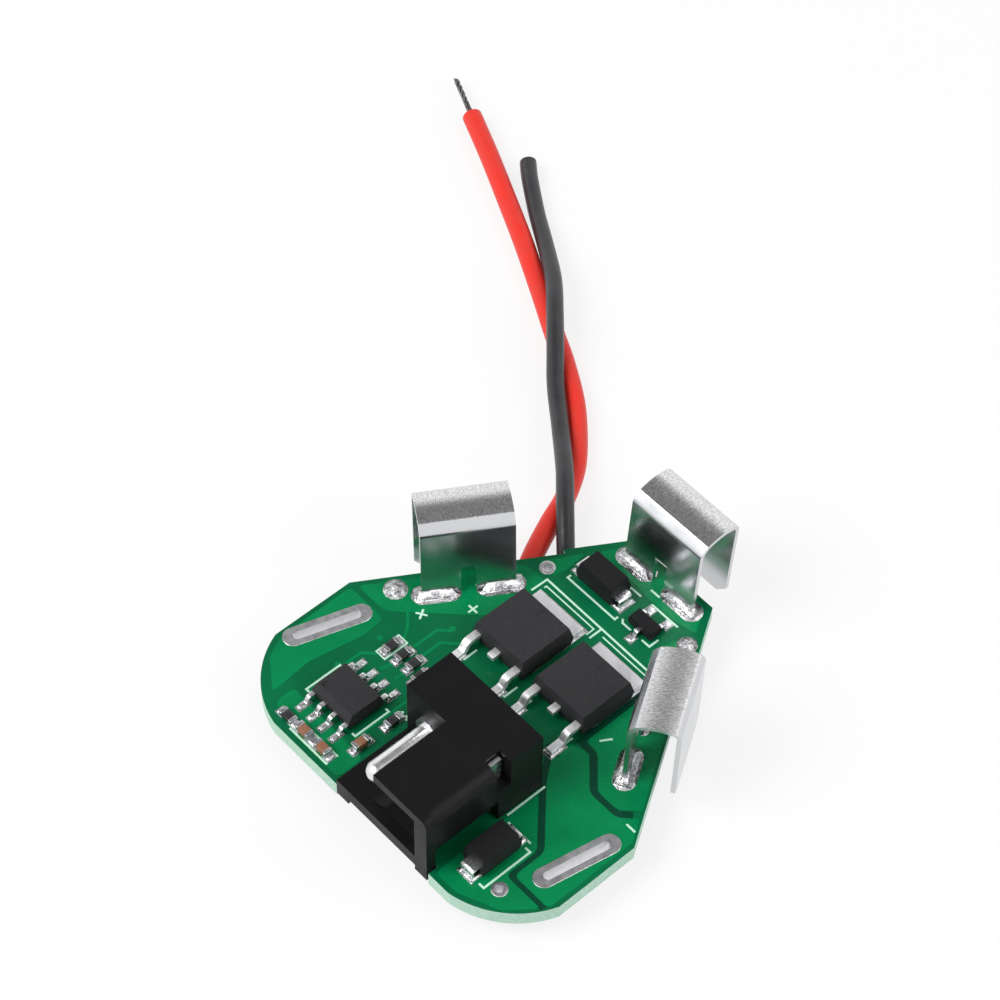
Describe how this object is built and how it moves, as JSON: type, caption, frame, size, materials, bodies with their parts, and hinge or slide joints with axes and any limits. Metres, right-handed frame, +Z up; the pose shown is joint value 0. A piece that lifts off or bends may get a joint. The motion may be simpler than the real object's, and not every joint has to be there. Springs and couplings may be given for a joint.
{
  "type": "battery management board",
  "caption": "Triangular battery management board with folded spring clips, a half-open power jack, moulded circuit parts and a pair of soldered lead wires.",
  "frame": {"origin": "on the plane that the solder tails stand on, under the middle of the footprint of the board, clips and jack without the two lead wires", "axes": "+X across the board, to the side that the jack sits towards; +Y from the jack's mouth to the apex clip; +Z up, from the solder side to the component side"},
  "size_m": [0.0798, 0.0657, 0.0129],
  "materials": {
    "solder_mask": "glossy green solder mask over glass-fibre laminate",
    "tinned_pad": "tinned copper, dull silver",
    "solder": "smooth bright solder",
    "clip_metal": "nickel-plated spring strip, brushed along its length",
    "jack_black": "moulded black nylon, semi-matte",
    "contact_metal": "nickel-plated, bright",
    "chip_black": "moulded epoxy, matte charcoal",
    "lead_tin": "tin-plated leads, satin",
    "resistor_black": "black glazed film",
    "capacitor_brown": "fired brown ceramic",
    "end_tin": "tinned end caps",
    "wire_red": "soft red vinyl insulation",
    "wire_black": "soft black vinyl insulation",
    "wire_core": "tinned stranded copper"
  },
  "bodies": {
    "root": {"board": "solder_mask", "slot_pads": "tinned_pad", "round_pads": "tinned_pad", "lands": "tinned_pad", "solder_domes": "solder", "apex_clip": "clip_metal", "left_clip": "clip_metal", "right_clip": "clip_metal", "apex_clip_solder": "solder", "left_clip_solder": "solder", "right_clip_solder": "solder", "jack_housing": "jack_black", "jack_centre_pin": "contact_metal", "jack_side_spring": "contact_metal", "jack_switch_contact": "contact_metal", "jack_solder": "solder", "left_power_body": "chip_black", "left_power_leads": "lead_tin", "right_power_body": "chip_black", "right_power_leads": "lead_tin", "controller_body": "chip_black", "controller_leads": "lead_tin", "rear_diode_body": "chip_black", "rear_diode_leads": "lead_tin", "front_diode_body": "chip_black", "front_diode_leads": "lead_tin", "small_transistor_body": "chip_black", "small_transistor_leads": "lead_tin", "resistor_bodies": "resistor_black", "resistor_ends": "end_tin", "capacitor_bodies": "capacitor_brown", "capacitor_ends": "end_tin", "red_wire": "wire_red", "red_wire_tip": "wire_core", "black_wire": "wire_black", "wire_cores": "wire_core", "wire_solder": "solder"}
  },
  "joints": []
}
